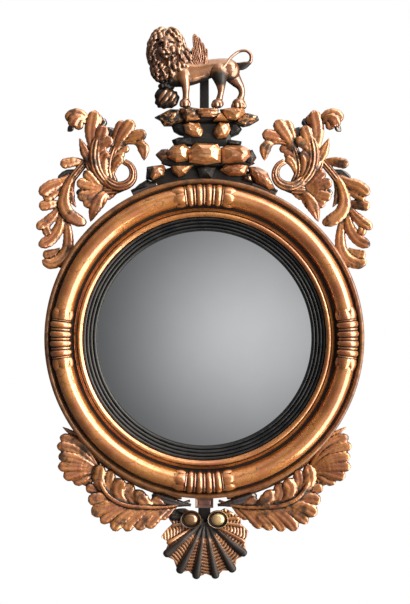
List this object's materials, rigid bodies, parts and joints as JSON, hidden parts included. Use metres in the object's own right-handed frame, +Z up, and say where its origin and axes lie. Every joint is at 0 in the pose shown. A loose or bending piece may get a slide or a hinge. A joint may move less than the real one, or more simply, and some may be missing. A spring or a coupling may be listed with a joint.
{
  "type": "convex wall mirror",
  "caption": "Round convex mirror in a moulded gilt frame with a reeded slip, a rock crest with a winged lion, scrolled leaf sprays, leaf apron and shell pendant.",
  "frame": {"origin": "centre of the round frame, on the back face of the spine batten, which is the wall plane", "axes": "+Z up, +Y towards the wall, -Y out of the glass, +X to the right as seen from the front"},
  "size_m": [0.6286, 0.0755, 1.0449],
  "materials": {
    "gilt_wood": "water-gilt over red-brown bole, burnished on the heights and dark in the hollows",
    "shadowed_gilt_wood": "gilt carving toned dark, with gold on the proud faces",
    "ebonised_wood": "ebonised and polished reeding",
    "silvered_glass": "silvered convex glass",
    "pine_board": "unpainted softwood board, aged brown",
    "stained_batten": "softwood with a dark stain",
    "brass": "dull brass",
    "steel": "plain steel screws",
    "felt": "pressed felt"
  },
  "bodies": {
    "root": {"frame_ring": "gilt_wood", "collar_right": "gilt_wood", "collar_top": "gilt_wood", "collar_left": "gilt_wood", "collar_bottom": "gilt_wood", "plinth_slab": "gilt_wood", "plinth_top": "gilt_wood", "plinth_tablet": "gilt_wood", "lion": "gilt_wood", "lion_wing_near": "gilt_wood", "lion_wing_far": "gilt_wood", "lion_tail": "gilt_wood", "scroll_spray_left": "gilt_wood", "scroll_spray_right": "gilt_wood", "apron_leaf_left": "gilt_wood", "apron_leaf_right": "gilt_wood", "shell_pendant": "gilt_wood", "medallion_left": "gilt_wood", "medallion_right": "gilt_wood", "plinth_base": "shadowed_gilt_wood", "plinth_neck": "shadowed_gilt_wood", "lion_boulder": "shadowed_gilt_wood", "reeded_slip": "ebonised_wood", "convex_glass": "silvered_glass", "glass_cushion": "felt", "wall_pad_1": "felt", "wall_pad_2": "felt", "backboard": "pine_board", "spine_batten": "stained_batten", "apron_tab": "stained_batten", "turn_button_1_screw": "steel", "hanger_screw_1": "steel", "batten_screw_1": "steel", "turn_button_2_screw": "steel", "hanger_screw_2": "steel", "batten_screw_2": "steel", "turn_button_3_screw": "steel", "hanger_screw_3": "steel", "batten_screw_3": "steel", "turn_button_4_screw": "steel", "hanger_screw_4": "steel", "batten_screw_4": "steel", "hanger_strap_left": "brass", "hanger_strap_right": "brass"},
    "hanger_ring_left": {"hanger_ring_left": "brass"},
    "hanger_ring_right": {"hanger_ring_right": "brass"},
    "turn_button_1": {"turn_button_1": "brass"},
    "turn_button_2": {"turn_button_2": "brass"},
    "turn_button_3": {"turn_button_3": "brass"},
    "turn_button_4": {"turn_button_4": "brass"}
  },
  "joints": [
    {"name": "turn_button_1_turn", "type": "hinge", "parent": "root", "child": "turn_button_1", "pos_m": [0.22969, -0.01, 0.16083], "axis": [0, 1, 0], "continuous": true},
    {"name": "turn_button_2_turn", "type": "hinge", "parent": "root", "child": "turn_button_2", "pos_m": [-0.22969, -0.01, 0.16083], "axis": [0, 1, 0], "continuous": true},
    {"name": "turn_button_3_turn", "type": "hinge", "parent": "root", "child": "turn_button_3", "pos_m": [-0.22969, -0.01, -0.16083], "axis": [0, 1, 0], "continuous": true},
    {"name": "turn_button_4_turn", "type": "hinge", "parent": "root", "child": "turn_button_4", "pos_m": [0.22969, -0.01, -0.16083], "axis": [0, 1, 0], "continuous": true},
    {"name": "hanger_ring_left_swing", "type": "hinge", "parent": "root", "child": "hanger_ring_left", "pos_m": [-0.27614, -0.0088, 0.04069], "axis": [1, 0, 0], "range_deg": [0, 150]},
    {"name": "hanger_ring_right_swing", "type": "hinge", "parent": "root", "child": "hanger_ring_right", "pos_m": [0.27614, -0.0088, 0.04069], "axis": [1, 0, 0], "range_deg": [0, 150]}
  ]
}
